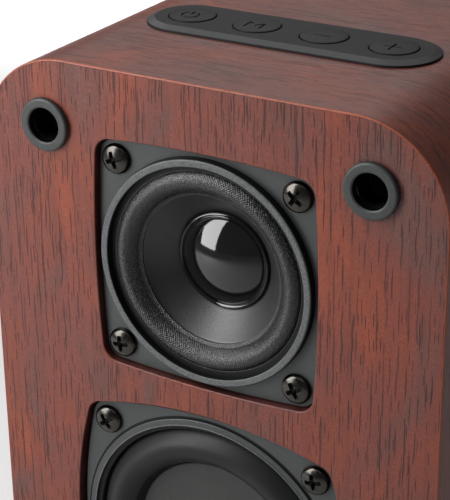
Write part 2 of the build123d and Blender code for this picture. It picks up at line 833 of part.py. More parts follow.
def amplifier_heatsink():
    with BuildPart() as heatsink:
        with BuildSketch(front_plane(AMP_FRONT - 2, JACK_Z)):
            Rectangle(34, 24)
        extrude(amount=2.5)
        with BuildSketch(front_plane(AMP_FRONT - 4.5, JACK_Z)):
            with GridLocations(4.1, 0, 9, 1):
                Rectangle(1.2, 24)
        extrude(amount=9)
    return heatsink.part


def capacitors():
    with BuildPart() as cans:
        with BuildSketch(front_plane(AMP_FRONT, PLATE_Z)):
            with Locations((-28, -8), (-28, 6)):
                Circle(5)
        extrude(amount=16)
        fillet(cans.faces().sort_by(Axis.Y)[0:2].edges(), 0.8)
    return cans.part


def board_standoffs():
    with BuildPart() as posts:
        with BuildSketch(front_plane(REAR_FACE, PLATE_Z)):
            with Locations(*STANDOFFS):
                RegularPolygon(3, 6)
        extrude(amount=AMP_GAP)
    return posts.part


def driver_lead(start_x, end_x):
    """One insulated wire from a solder tag to the amplifier board."""
    tag = STRIP_TOP - 1.7
    with BuildPart() as lead:
        with BuildLine() as route:
            FilletPolyline(
                (start_x, FRONT + 28.6, tag), (start_x, FRONT + 40, tag - 3),
                (start_x + 5, FRONT + 55, 100), (end_x - 6, FRONT + 82, 80),
                (end_x, FRONT + 100, 62), (end_x, AMP_FRONT, 62),
                radius=6,
            )
        with BuildSketch(Plane(origin=route.line @ 0, z_dir=route.line % 0)):
            Circle(0.8)
        sweep()
    return lead.part


def ribbon_cable():
    """The flat cable from the button board to the amplifier board."""
    with BuildPart() as cable:
        with BuildLine() as route:
            FilletPolyline(
                (0, PANEL_Y + 5, BUTTON_BOARD_TOP - BOARD), (0, PANEL_Y + 5, 170),
                (0, -2, 156), (0, 28, 138), (0, 35, 104), (0, 35, 68), (0, AMP_FRONT, 68),
                radius=5,
            )
        with BuildSketch(Plane(origin=route.line @ 0, x_dir=(1, 0, 0), z_dir=(0, 0, -1))):
            Rectangle(10, 1)
        sweep()
    return cable.part


def damping_wadding():
    """A soft pad against the upper part of the rear panel."""
    with BuildPart() as pad:
        with BuildSketch(front_plane(REAR_INNER - 0.2, 144)):
            RectangleRounded(84, 74, 8)
        extrude(amount=12)
        fillet(pad.faces().sort_by(Axis.Y)[0].edges(), 4)
    return pad.part


# ---------------------------------------------------------------- build every piece
def main():
    os.makedirs("parts", exist_ok=True)
    write(cabinet_shell(), "cabinet_shell")
    write(front_baffle(), "front_baffle")
    write(rear_panel(), "rear_panel")
    write(corner_blocks(), "corner_blocks")
    write(countersunk_screws(SCREW_PLACES, REAR_FACE, MIDDLE, *WOOD_SCREW), "rear_panel_screws")
    write(rubber_feet(), "rubber_feet")
    levels = {"top": TOP - SOCKET_INSET, "bottom": BOTTOM + SOCKET_INSET}
    for level, z in levels.items():
        for side, x in (("left", -SOCKET_X), ("right", SOCKET_X)):
            write(grille_socket(x, z), f"grille_socket_{level}_{side}")

    write(control_panel(), "control_panel")
    symbols = {
        "power": power_symbol(), "mode": mode_symbol(),
        "volume_down": minus_symbol(), "volume_up": plus_symbol(),
    }
    for (x, _), (name, symbol) in zip(BUTTON_PLACES, symbols.items()):
        write(button(x, symbol), f"{name}_button")
        write(switch_plunger(x), f"{name}_plunger")
    write(button_board(), "button_board")
    write(tact_switches(), "tact_switches")
    write(button_board_screws(), "button_board_screws")

    write(driver_basket(), "driver_basket")
    write(trim_ring(DRIVER_Z, *DRIVER_RING), "driver_ring")
    write(driver_surround(), "driver_surround")
    write(driver_cone(), "driver_cone")
    write(driver_dust_cap(), "driver_dust_cap")
    write(voice_coil_former(), "voice_coil_former")
    write(voice_coil_winding(), "voice_coil_winding")
    write(driver_spider(), "driver_spider")
    write(driver_top_plate(), "driver_top_plate")
    write(driver_magnet(), "driver_magnet")
    write(driver_yoke(), "driver_yoke")
    write(driver_terminal_strip(), "driver_terminal_strip")
    write(driver_tags(), "driver_tags")
    write(seal(DRIVER_Z, DRIVER_SEAL, DRIVER_CUTOUT, DRIVER_PITCH), "driver_seal")
    write(flange_screws(DRIVER_Z, DRIVER_PITCH), "driver_screws")

    write(radiator_frame(), "radiator_frame")
    write(trim_ring(RADIATOR_Z, *RADIATOR_RING), "radiator_ring")
    write(radiator_surround(), "radiator_surround")
    write(radiator_plate(), "radiator_plate")
    write(radiator_weight(), "radiator_weight")
    write(seal(RADIATOR_Z, RADIATOR_SEAL, RADIATOR_CUTOUT, RADIATOR_PITCH), "radiator_seal")
    write(flange_screws(RADIATOR_Z, RADIATOR_PITCH), "radiator_screws")

    write(terminal_plate(), "terminal_plate")
    write(countersunk_screws(PLATE_SCREWS, PLATE_FACE, PLATE_Z, *PLATE_SCREW), "terminal_plate_screws")
    write(jack(AUX_X, (11, 10), JACK_BORE, JACK_DEPTH), "aux_jack")
    write(jack(LINK_X, (11, 10), JACK_BORE, JACK_DEPTH), "link_jack")
    write(jack(INLET_X, (12, 12), INLET_BORE, INLET_DEPTH), "dc_inlet")
    write(dc_inlet_pin(), "dc_inlet_pin")
    write(amplifier_board(), "amplifier_board")
    write(amplifier_chip(), "amplifier_chip")
    write(amplifier_heatsink(), "amplifier_heatsink")
    write(capacitors(), "capacitors")
    write(board_standoffs(), "board_standoffs")
    write(driver_lead(4, 26), "driver_lead_red")
    write(driver_lead(-4, 18), "driver_lead_black")
    write(ribbon_cable(), "ribbon_cable")
    write(damping_wadding(), "damping_wadding")


main()
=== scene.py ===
"""Looks of a small wood-veneered desktop loudspeaker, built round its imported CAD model."""
import json
import math
import bmesh
import bpy
from mathutils import Matrix, Vector


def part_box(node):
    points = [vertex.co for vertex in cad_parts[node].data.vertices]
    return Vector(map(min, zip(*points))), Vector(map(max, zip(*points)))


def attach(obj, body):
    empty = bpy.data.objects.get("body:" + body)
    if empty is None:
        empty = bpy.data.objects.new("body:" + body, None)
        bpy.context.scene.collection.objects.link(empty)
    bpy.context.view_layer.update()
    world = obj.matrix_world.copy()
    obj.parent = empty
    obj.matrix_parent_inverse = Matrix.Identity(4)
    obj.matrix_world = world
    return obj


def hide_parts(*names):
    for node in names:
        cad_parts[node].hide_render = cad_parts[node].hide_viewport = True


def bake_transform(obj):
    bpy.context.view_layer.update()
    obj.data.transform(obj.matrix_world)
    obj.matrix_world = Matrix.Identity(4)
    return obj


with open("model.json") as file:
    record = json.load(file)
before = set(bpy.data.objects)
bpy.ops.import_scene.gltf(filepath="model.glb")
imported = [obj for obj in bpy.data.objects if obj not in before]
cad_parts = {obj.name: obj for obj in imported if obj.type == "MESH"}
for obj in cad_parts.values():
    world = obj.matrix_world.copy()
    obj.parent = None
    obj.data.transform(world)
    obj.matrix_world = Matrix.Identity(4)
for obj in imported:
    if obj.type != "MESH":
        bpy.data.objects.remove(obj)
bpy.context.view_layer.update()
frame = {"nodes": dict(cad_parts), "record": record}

MM = 0.001
FRONT_AXIS = "y"
TOP_AXIS = "z"


# ------------------------------------------------------------------ places, in millimetres
def box_mm(node):
    """Lowest and highest corner of a CAD node in millimetres."""
    low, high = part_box(node)
    return low / MM, high / MM


def centre_mm(node):
    low, high = box_mm(node)
    return (low + high) / 2


SHELL_LOW, SHELL_HIGH = box_mm("cabinet_shell")
BOARD_LOW, BOARD_HIGH = box_mm("front_baffle")
FRONT = BOARD_LOW.y
BOARD_BACK = BOARD_HIGH.y
BACK = SHELL_HIGH.y
TOP = SHELL_HIGH.z
HALF_WIDTH = SHELL_HIGH.x
HALF_HEIGHT = (SHELL_HIGH.z - SHELL_LOW.z) / 2
MIDDLE = (SHELL_HIGH.z + SHELL_LOW.z) / 2
CORNER = 25.0
WALL = 9.0
FACE = box_mm("driver_ring")[1].y
RECESS_FLOOR = FRONT + 5.5
DRIVER_Z = centre_mm("driver_ring").z
RADIATOR_Z = centre_mm("radiator_ring").z
# recess outlines as (half_corner, half_side, fillet) of a bowed square
DRIVER_RECESS = (31.1, 32.5, 4.7)
RADIATOR_RECESS = (36.5, 42.0, 5.0)
# radii of the bores in the recess floors
DRIVER_BORE = 28.2
RADIATOR_BORE = 38.2
DRIVER_PITCH = 52.0
RADIATOR_PITCH = 63.5
# how far each screw's cross is turned, in degrees
DRIVER_SPINS = (20, 52, 8, 30)
RADIATOR_SPINS = (38, 12, 60, 25)
SCREW_RADIUS = 4.1
SCREW_HEIGHT = 2.3
SHANK_RADIUS = 6.0
SOCKETS = ["grille_socket_top_left", "grille_socket_top_right",
           "grille_socket_bottom_left", "grille_socket_bottom_right"]
PANEL_LOW, PANEL_HIGH = box_mm("control_panel")
PANEL_Y = (PANEL_LOW.y + PANEL_HIGH.y) / 2
KEYS = ["power", "mode", "volume_down", "volume_up"]
WELL_RADIUS = 6.55
CAP_RADIUS = 6.4
SIGN_DEPTH = 0.42
SIGN_SHIFT = 1.1


# ------------------------------------------------------------------ outlines
def arc(centre, radius, start, stop, count):
    """Points from angle start to stop, both in degrees, without the last one."""
    span = math.radians(stop - start)
    angles = [math.radians(start) + span * step / count for step in range(count)]
    return [(centre[0] + radius * math.cos(a), centre[1] + radius * math.sin(a)) for a in angles]


def round_outline(x, z, radius, count=96):
    return lambda inset: arc((x, z), radius - inset, 0, 360, count)


def rounded_rectangle(x, z, half_width, half_height, radius, steps=24):
    """A rectangle with rounded corners, whose straight sides run from one corner's arc to the next."""
    def outline(inset):
        points = []
        corners = [(1, 1, 0), (-1, 1, 90), (-1, -1, 180), (1, -1, 270)]
        for side_x, side_z, start in corners:
            centre = (x + side_x * (half_width - radius), z + side_z * (half_height - radius))
            points += arc(centre, radius - inset, start, start + 90, steps)
            points.append(arc(centre, radius - inset, start + 90, start + 90, 1)[0])
        return points
    return outline


def bowed_square(z, half_corner, half_side, fillet):
    """A square whose sides are shallow arcs, with rounded corners, centred on x = 0."""
    steps = 20
    bow = half_side - half_corner
    side_radius = (bow**2 + half_corner**2) / (2 * bow)
    centre = half_side - side_radius
    reach = side_radius - fillet
    corner = (centre + math.sqrt(2 * reach**2 - centre**2)) / 2
    half_angle = math.degrees(math.asin(corner / reach))

    def outline(inset):
        points = []
        for turn in range(4):
            spin = math.radians(90 * turn)
            quarter = arc((centre, 0), side_radius - inset, -half_angle, half_angle, steps)
            quarter += arc((corner, corner), fillet - inset, half_angle, 90 - half_angle, steps)
            points += [
                (a * math.cos(spin) - b * math.sin(spin), z + a * math.sin(spin) + b * math.cos(spin))
                for a, b in quarter
            ]
        return points
    return outline


# ------------------------------------------------------------------ meshes
AXIS_REACH = 1e-6  # a turned ring no wider than this, in millimetres, is a single vertex


class Shape:
    """A closed mesh built from rings of points, with a UV map in metres."""

    def __init__(self, axis=FRONT_AXIS):
        self.bm = bmesh.new()
        self.uv = self.bm.loops.layers.uv.new("UVMap")
        self.axis = axis

    def place(self, a, b, level):
        return Vector((a, level, b)) * MM if self.axis == FRONT_AXIS else Vector((a, b, level)) * MM

    def ring(self, points, level):
        return [self.bm.verts.new(self.place(a, b, level)) for a, b in points]

    def face(self, verts, uvs, material=0):
        made = self.bm.faces.new(verts)
        made.material_index = material
        for loop, uv in zip(made.loops, uvs):
            loop[self.uv].uv = uv
        return made

    def strip(self, first, second, v_first, v_second, material):
        """Quads between two rings of equal count. U runs along the ring, V across it."""
        count = len(first)
        lengths = [0.0]
        for step in range(count):
            lengths.append(lengths[-1] + (first[(step + 1) % count].co - first[step].co).length)
        for step in range(count):
            after = (step + 1) % count
            self.face(
                (first[step], first[after], second[after], second[step]),
                ((lengths[step], v_first), (lengths[step + 1], v_first),
                 (lengths[step + 1], v_second), (lengths[step], v_second)),
                material,
            )

    def wall(self, outline, steps, material=0, travel=0.0, first_ring=None):
        """A wall that follows (inset, level) steps of one outline. Returns its first and last ring."""
        rings = [self.ring(outline(inset), level) for inset, level in steps]
        if first_ring is not None:
            rings[0] = first_ring
        for (first, second), (a, b) in zip(zip(rings, rings[1:]), zip(steps, steps[1:])):
            length = math.dist(a, b) * MM
            self.strip(first, second, travel, travel + length, material)
            travel += length
        return rings[0], rings[-1]

    def cap(self, *loops, material=0):
        """A flat face bounded by one outer loop and any holes."""
        edges = []
        for loop in loops:
            for first, second in zip(loop, loop[1:] + loop[:1]):
                edge = self.bm.edges.get((first, second)) or self.bm.edges.new((first, second))
                edges.append(edge)
        made = bmesh.ops.triangle_fill(self.bm, use_beauty=True, edges=edges)["geom"]
        for face in (item for item in made if isinstance(item, bmesh.types.BMFace)):
            face.material_index = material
            for loop in face.loops:
                co = loop.vert.co
                loop[self.uv].uv = (co.x, co.z) if self.axis == FRONT_AXIS else (co.x, co.y)

    def plug(self, outline, steps, material=0):
        """A closed body: a wall with a flat cap at each end."""
        for ring in self.wall(outline, steps, material):
            self.cap(ring, material=material)

    def turn(self, profile, centre, count, closed=True):
        """Adds a body turned about the shape's axis from (radius, level) points, one vertex at radius 0."""
        rings = []
        for radius, level in profile:
            points = arc(centre, radius, 0, 360, count) if radius > AXIS_REACH else [centre]
            rings.append(self.ring(points, level))
        width = max(radius for radius, _ in profile) * 2 * math.pi * MM / count
        travel = 0.0
        for index in range(len(profile) if closed else len(profile) - 1):
            following = (index + 1) % len(profile)
            first, second = rings[index], rings[following]
            arrival = travel + math.dist(profile[index], profile[following]) * MM
            for step in range(count):
                after = (step + 1) % count
                u, u_after = step * width, (step + 1) * width
                if len(first) == 1 and len(second) == 1:
                    break
                if len(first) == 1:
                    self.face((first[0], second[after], second[step]),
                              ((u, travel), (u_after, arrival), (u, arrival)))
                elif len(second) == 1:
                    self.face((first[step], first[after], second[0]),
                              ((u, travel), (u_after, travel), (u, arrival)))
                else:
                    self.face((first[step], first[after], second[after], second[step]),
                              ((u, travel), (u_after, travel), (u_after, arrival), (u, arrival)))
            travel = arrival

    def finish(self, name, materials, sharp=35):
        """The piece as an object, with outward normals and smooth shading up to a sharp angle."""
        bmesh.ops.remove_doubles(self.bm, verts=self.bm.verts, dist=1e-7)
        bmesh.ops.recalc_face_normals(self.bm, faces=self.bm.faces)
        mesh = bpy.data.meshes.new(name)
        self.bm.to_mesh(mesh)
        self.bm.free()
        piece = bpy.data.objects.new(name, mesh)
        bpy.context.scene.collection.objects.link(piece)
        for material in materials:
            mesh.materials.append(material)
        shade(piece, sharp)
        return piece


def shade(piece, sharp):
    """Smooth shading that keeps edges above the angle, with normals led by the large faces."""
    piece.data.shade_smooth()
    piece.data.set_sharp_from_angle(angle=math.radians(sharp))
    weighted = piece.modifiers.new("weighted", "WEIGHTED_NORMAL")
    weighted.keep_sharp = True


def settle(piece, body, node):
    """The piece rides on a body and stands for its CAD node, which it hides."""
    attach(piece, body)
    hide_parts(node)


def rounded(points, radii, steps):
    """A closed (radius, level) profile, each of its corners rounded by a radius of its own."""
    out = []
    for index, (point, size) in enumerate(zip(points, radii)):
        here = Vector(point)
        before = Vector(points[index - 1]) - here
        after = Vector(points[(index + 1) % len(points)]) - here
        if size <= 0:
            out.append(tuple(here))
            continue
        cut = min(size, 0.49 * before.length, 0.49 * after.length)
        start = here + before.normalized() * cut
        stop = here + after.normalized() * cut
        for step in range(steps + 1):
            t = step / steps
            spot = start * (1 - t) ** 2 + here * 2 * t * (1 - t) + stop * t**2
            out.append(tuple(spot))
    return out


def carve(piece, tool):
    """Cuts a closed shape out of the piece for good."""
    bmesh.ops.recalc_face_normals(tool.bm, faces=tool.bm.faces)
    mesh = bpy.data.meshes.new("cutter")
    tool.bm.to_mesh(mesh)
    tool.bm.free()
    cutter = bpy.data.objects.new("cutter", mesh)
    bpy.context.scene.collection.objects.link(cutter)
    cut = piece.modifiers.new("cut", "BOOLEAN")
    cut.operation = "DIFFERENCE"
    cut.solver = "EXACT"
    cut.material_mode = "INDEX"
    cut.object = cutter
    graph = bpy.context.evaluated_depsgraph_get()
    carved = bpy.data.meshes.new_from_object(piece.evaluated_get(graph))
    piece.modifiers.remove(cut)
    piece.data = carved
    bpy.data.objects.remove(cutter)


# ------------------------------------------------------------------ materials
class Paint:
    """A node material, with short calls for the nodes that the looks below are made of."""

    def __init__(self, name):
        self.material = bpy.data.materials.new(name)
        self.material.use_nodes = True
        self.tree = self.material.node_tree
        self.shader = self.tree.nodes["Principled BSDF"]

    def node(self, kind, **settings):
        made = self.tree.nodes.new(kind)
        for key, value in settings.items():
            self.put(made, key, value)
        return made

    def put(self, made, key, value):
        """Sets a node's own setting, or else gives its input a value or a link."""
        if isinstance(key, str) and hasattr(made, key) and not isinstance(value, bpy.types.NodeSocket):
            setattr(made, key, value)
            return
        socket = made.inputs[key] if isinstance(key, int) else made.inputs[key.replace("_", " ")]
        if isinstance(value, bpy.types.NodeSocket):
            self.tree.links.new(value, socket)
        else:
            socket.default_value = value

    def set(self, **values):
        """Values or links on the shader's own sockets."""
        for key, value in values.items():
            self.put(self.shader, key, value)

    def coordinates(self, kind="Object"):
        return self.node("ShaderNodeTexCoord").outputs[kind]

    def scaled(self, vector, scale):
        return self.node("ShaderNodeMapping", Vector=vector, Scale=scale).outputs[0]

    def noise(self, vector, scale, detail, roughness=0.5, distortion=0.0):
        made = self.node("ShaderNodeTexNoise", Vector=vector, Scale=scale, Detail=detail,
                         Roughness=roughness, Distortion=distortion)
        return made.outputs["Fac"]

    def ramp(self, factor, *stops):
        """A colour ramp from (position, colour) stops. A single number stands for a grey."""
        made = self.node("ShaderNodeValToRGB", Fac=factor)
        ramp = made.color_ramp
        while len(ramp.elements) < len(stops):
            ramp.elements.new(0.5)
        for element, (position, colour) in zip(ramp.elements, stops):
            element.position = position
            grey = isinstance(colour, (int, float))
            element.color = (colour, colour, colour, 1) if grey else (*colour, 1)
        return made.outputs["Color"]

    def mix(self, factor, first, second, blend="MIX"):
        """Two colours mixed. The node's colour inputs are 6 and 7, and its colour output is 2."""
        made = self.node("ShaderNodeMix", data_type="RGBA", blend_type=blend)
        for index, value in ((0, factor), (6, first), (7, second)):
            if isinstance(value, tuple):
                value = (*value, 1)
            self.put(made, index, value)
        return made.outputs[2]

    def math(self, operation, first, second=0.0):
        made = self.node("ShaderNodeMath", operation=operation)
        self.put(made, 0, first)
        self.put(made, 1, second)
        return made.outputs[0]

    def spread(self, value, low, high, new_low, new_high):
        made = self.node("ShaderNodeMapRange")
        for index, item in enumerate((value, low, high, new_low, new_high)):
            self.put(made, index, item)
        return made.outputs[0]

    def bump(self, height, strength, distance):
        made = self.node("ShaderNodeBump", Height=height, Strength=strength, Distance=distance)
        return made.outputs["Normal"]


def dashes(paint, grain, across, along, half_width, half_length, share):
    """Short tapered dashes along the grain, at most one in each cell of a stretched pattern.

    across and along are cells per metre, the half sizes are metres, and share is the part of the cells used.
    """
    place = paint.scaled(grain, (across, along, 1))
    cells = paint.node("ShaderNodeTexVoronoi", Vector=place, Scale=1.0, voronoi_dimensions="2D")
    away = paint.node("ShaderNodeVectorMath", operation="SUBTRACT")
    paint.put(away, 0, place)
    paint.put(away, 1, cells.outputs["Position"])
    shaped = paint.scaled(away.outputs[0], (1 / (half_width * across), 1 / (half_length * along), 0))
    length = paint.node("ShaderNodeVectorMath", operation="LENGTH")
    paint.put(length, 0, shaped)
    dash = paint.spread(length.outputs["Value"], 1.0, 0.78, 0, 1)
    chance = paint.node("ShaderNodeSeparateXYZ", Vector=cells.outputs["Color"])
    there = paint.math("LESS_THAN", chance.outputs["X"], share)
    depth = paint.spread(chance.outputs["Y"], 0, 1, 0.5, 1.0)
    return paint.math("MULTIPLY", dash, paint.math("MULTIPLY", there, depth))


PORE_BROWN = (0.030, 0.0055, 0.0045)
# lighter orange for the veneer's rounded front edge: a painted highlight
EDGE_HIGHLIGHT_ORANGE = (0.30, 0.068, 0.026)


def veneer(name, grain_along_v, seed, pore_depth, relief):
    """Reddish-brown veneer: soft patches, fine bands and short dark pores along the grain."""
    paint = Paint(name)
    uv = paint.coordinates("UV")
    turn = (0, 0, 0) if grain_along_v else (0, 0, math.radians(90))
    flat = paint.node("ShaderNodeMapping", Vector=uv, Rotation=turn, Location=(seed, seed, 0)).outputs[0]
    wobble = paint.noise(paint.scaled(flat, (160, 110, 1)), 1.0, 3.0, 0.6)
    drift = paint.math("MULTIPLY", paint.math("SUBTRACT", wobble, 0.5), 0.0010)
    pushed = paint.node("ShaderNodeCombineXYZ", X=drift).outputs[0]
    grain = paint.node("ShaderNodeVectorMath", operation="ADD")
    paint.put(grain, 0, flat)
    paint.put(grain, 1, pushed)
    grain = grain.outputs[0]
    clouds = paint.noise(paint.scaled(flat, (40, 20, 1)), 1.0, 4.0, 0.6, 0.8)
    bands = paint.noise(paint.scaled(grain, (520, 12, 1)), 1.0, 3.0, 0.6)
    base = paint.ramp(clouds, (0.32, (0.092, 0.035, 0.028)), (0.45, (0.122, 0.030, 0.020)),
                      (0.58, (0.148, 0.030, 0.015)), (0.70, (0.195, 0.036, 0.013)),
                      (0.80, (0.125, 0.026, 0.015)))
    tone = paint.ramp(bands, (0.30, 0.80), (0.5, 1.0), (0.72, 1.14))
    base = paint.mix(0.8, base, tone, "MULTIPLY")
    layers = [dashes(paint, grain, 540, 75, 0.00020, 0.0050, 0.52),
              dashes(paint, grain, 950, 190, 0.00015, 0.0021, 0.36),
              dashes(paint, grain, 360, 34, 0.00023, 0.0115, 0.50)]
    mask = paint.math("MAXIMUM", paint.math("MAXIMUM", layers[0], layers[1]), layers[2])
    colour = paint.mix(paint.math("MULTIPLY", mask, pore_depth), base, PORE_BROWN)
    # the edge attribute mixes in the lighter orange: a painted highlight along the rounded front edge
    edge = paint.node("ShaderNodeAttribute", attribute_name="edge").outputs["Fac"]
    colour = paint.mix(paint.math("MULTIPLY", edge, 0.75), colour, EDGE_HIGHLIGHT_ORANGE)
    fine = paint.noise(paint.scaled(grain, (2600, 1100, 1)), 1.0, 2.0)
    colour = paint.mix(0.55, colour, paint.ramp(fine, (0.3, 0.62), (0.7, 1.38)), "MULTIPLY")
    height = paint.math("SUBTRACT", paint.math("MULTIPLY", fine, 0.25), mask)
    paint.set(Base_Color=colour, Roughness=paint.spread(bands, 0.2, 0.8, 0.33, 0.45),
              Normal=paint.bump(height, 0.6, relief))
    paint.set(Specular_IOR_Level=0.38)
    return paint.material


def moulded(name, colour, roughness, grain=0.00035, depth=0.5, variation=0.12, spec=0.5,
            fleck=0.3):
    """Moulded or painted surface with a fine sparkled grain, at a grain size in metres."""
    paint = Paint(name)
    place = paint.coordinates()
    fine = paint.noise(place, 1 / grain, 2.0, 0.6)
    broad = paint.noise(place, 90.0, 3.0, 0.6)
    dark = tuple(part * (1 - variation) for part in colour)
    light = tuple(min(1, part * (1 + variation)) for part in colour)
    tint = paint.mix(fleck, broad, fine)
    paint.set(Base_Color=paint.mix(paint.spread(tint, 0.35, 0.65, 0, 1), dark, light),
              Roughness=paint.spread(fine, 0.3, 0.7, roughness - 0.06, roughness + 0.08),
              Normal=paint.bump(fine, depth, grain * 0.25))
    paint.set(Specular_IOR_Level=spec)
    return paint.material


def glossy(name, colour, roughness):
    """Gloss plastic or lacquer with a faint orange peel and a few hazy marks."""
    paint = Paint(name)
    place = paint.coordinates()
    peel = paint.noise(place, 700.0, 1.0)
    haze = paint.noise(place, 160.0, 4.0, 0.6)
    paint.set(Base_Color=paint.mix(haze, tuple(0.8 * part for part in colour), colour),
              Roughness=paint.spread(haze, 0.3, 0.8, roughness, roughness + 0.08),
              Normal=paint.bump(peel, 0.06, 0.0001))
    paint.set(Specular_IOR_Level=0.6)
    return paint.material


def metal(name, colour, roughness=0.35, brushed=(900, 60, 900)):
    """Bare or plated metal with drawn lines."""
    paint = Paint(name)
    place = paint.coordinates()
    lines = paint.noise(paint.scaled(place, brushed), 1.0, 3.0, 0.6)
    paint.set(Base_Color=paint.mix(lines, tuple(0.8 * part for part in colour), colour), Metallic=1.0,
              Roughness=paint.spread(lines, 0.3, 0.7, roughness - 0.08, roughness + 0.1),
              Normal=paint.bump(lines, 0.2, 0.00005))
    return paint.material


def cloth(name, colour, light):
    """Coated woven cloth on the piece's own UV map: threads, with bright specks in the colour as painted
    glints.
    """
    paint = Paint(name)
    uv = paint.coordinates("UV")
    pitch = 0.00085
    scale = 2 * math.pi / pitch
    waves = []
    for axis in ("X", "Y"):
        part = paint.node("ShaderNodeSeparateXYZ", Vector=uv).outputs[axis]
        waves.append(paint.math("SINE", paint.math("MULTIPLY", part, scale)))
    weave = paint.math("MULTIPLY", waves[0], waves[1])
    speck = paint.noise(uv, 1300.0, 2.0, 0.7)
    height = paint.math("ADD", paint.math("MULTIPLY", weave, 0.20), speck)
    # the bright specks lightened into the base colour are painted glints
    tint = paint.math("POWER", paint.spread(height, 0.40, 0.84, 0, 1), 2.2)
    paint.set(Base_Color=paint.mix(tint, colour, light), Roughness=0.3,
              Normal=paint.bump(height, 1.0, 0.00018))
    paint.set(Specular_IOR_Level=0.48)
    return paint.material


def pulp(name, colour, roughness=0.72, spec=0.35):
    """Pressed paper pulp with short fibres."""
    paint = Paint(name)
    place = paint.coordinates()
    fibres = paint.noise(place, 1500.0, 4.0, 0.7, 1.2)
    clouds = paint.noise(place, 120.0, 2.0)
    tint = paint.spread(paint.math("ADD", fibres, clouds), 0.7, 1.3, 0, 1)
    paint.set(Base_Color=paint.mix(tint, tuple(0.75 * part for part in colour),
                                   tuple(1.3 * part for part in colour)),
              Roughness=roughness, Normal=paint.bump(fibres, 0.6, 0.0001))
    paint.set(Specular_IOR_Level=spec)
    return paint.material


def board_green(name):
    """Solder-masked circuit board with faint tracks."""
    paint = Paint(name)
    place = paint.coordinates()
    cells = paint.node("ShaderNodeTexVoronoi", Vector=place, Scale=260.0, feature="DISTANCE_TO_EDGE")
    tracks = paint.ramp(cells.outputs["Distance"], (0.02, 1.0), (0.06, 0.0))
    paint.set(Base_Color=paint.mix(tracks, (0.01, 0.07, 0.03), (0.02, 0.14, 0.06)), Roughness=0.3,
              Normal=paint.bump(tracks, 0.3, 0.00005))
    return paint.material


def fluff(name, colour):
    """Loose fibre wadding."""
    paint = Paint(name)
    fibres = paint.noise(paint.coordinates(), 500.0, 6.0, 0.75, 2.0)
    paint.set(Base_Color=paint.mix(fibres, tuple(0.7 * part for part in colour), colour),
              Roughness=0.95, Normal=paint.bump(fibres, 1.0, 0.001))
    return paint.material


FRONT_VENEER = veneer("front_veneer", True, 0.0, 1.0, 0.00018)
WRAP_VENEER = veneer("wrap_veneer", False, 0.37, 0.85, 0.00028)
LOOKS = {
    "board": moulded("rear_vinyl", (0.020, 0.020, 0.021), 0.55, 0.0006, 0.8),
    "socket_rubber": moulded("socket_rubber", (0.019, 0.021, 0.0205), 0.5, 0.0003, 0.35),
    "foot_rubber": moulded("foot_rubber", (0.025, 0.025, 0.025), 0.7, 0.0005),
    "panel_plastic": moulded("panel_plastic", (0.0085, 0.0085, 0.0088), 0.55, 0.00025, 0.25, spec=0.18),
    "button_plastic": moulded("button_plastic", (0.0055, 0.0055, 0.0058), 0.5, 0.00025, 0.25, spec=0.17),
    "switch_plastic": moulded("switch_plastic", (0.02, 0.02, 0.02), 0.5),
    "circuit_board": board_green("circuit_board"),
    "black_screw": metal("black_screw", (0.062, 0.058, 0.052), 0.2, (700, 700, 700)),
    "zinc_screw": metal("zinc_screw", (0.62, 0.62, 0.6)),
    "frame_paint": moulded("frame_paint", (0.024, 0.027, 0.027), 0.42, 0.0003, 0.35),
    "trim_plastic": moulded("trim_plastic", (0.066, 0.070, 0.071), 0.5, 0.0004, 0.8, 0.55, fleck=0.9),
    "surround_cloth": cloth("surround_cloth", (0.001, 0.001, 0.001), (0.085, 0.09, 0.086)),
    "cone_paper": pulp("cone_paper", (0.0045, 0.0052, 0.0048), 0.44, 0.74),
    "gloss_black": glossy("gloss_black", (0.004, 0.004, 0.0045), 0.03),
    "former_paper": pulp("former_paper", (0.40, 0.26, 0.14)),
    "copper": metal("copper", (0.80, 0.36, 0.16), 0.3, (200, 4000, 200)),
    "plated_steel": metal("plated_steel", (0.55, 0.55, 0.55)),
    "ferrite": pulp("ferrite", (0.05, 0.05, 0.05)),
    "tag_brass": metal("tag_brass", (0.75, 0.55, 0.22), 0.3),
    "foam": moulded("foam", (0.02, 0.02, 0.02), 0.9, 0.0008, 1.0),
    "surround_rubber": moulded("surround_rubber", (0.0105, 0.011, 0.0107), 0.44, 0.0004, 0.12, spec=0.2),
    "disc_plastic": moulded("disc_plastic", (0.024, 0.024, 0.0232), 0.55, 0.0004, 0.3, spec=0.35),
    "weight_steel": metal("weight_steel", (0.5, 0.5, 0.5)),
    "plate_plastic": moulded("plate_plastic", (0.018, 0.018, 0.019), 0.5, 0.0005, 0.6),
    "heatsink_aluminium": metal("heatsink_aluminium", (0.06, 0.06, 0.065), 0.45),
    "capacitor_sleeve": glossy("capacitor_sleeve", (0.02, 0.03, 0.10), 0.25),
    "red_lead": glossy("red_lead", (0.45, 0.02, 0.02), 0.3),
    "black_lead": glossy("black_lead", (0.02, 0.02, 0.02), 0.3),
    "grey_ribbon": moulded("grey_ribbon", (0.30, 0.30, 0.30), 0.5),
    "wadding": fluff("wadding", (0.75, 0.75, 0.72)),
}
SYMBOL_INK = moulded("symbol_ink", (0.005, 0.005, 0.005), 0.6)
# near-black for walls and gaps that should look shaded: painted shade
PAINTED_SHADE_BLACK = moulded("painted_shade_black", (0.004, 0.004, 0.004), 0.5, spec=0.2)
# a lighter copy of the panel plastic for its bevel: a painted highlight
PANEL_SLOPE_HIGHLIGHT = moulded("panel_slope_highlight", (0.020, 0.020, 0.0205), 0.42, 0.00025, 0.25, spec=0.5)
# dark maroon: painted shade on the recess walls, and the dark paint of the wrap's back edge
RECESS_SHADE_AND_BACK_PAINT = moulded("recess_shade_and_back_paint", (0.045, 0.010, 0.008), 0.45, 0.0005, 0.3, 0.4)


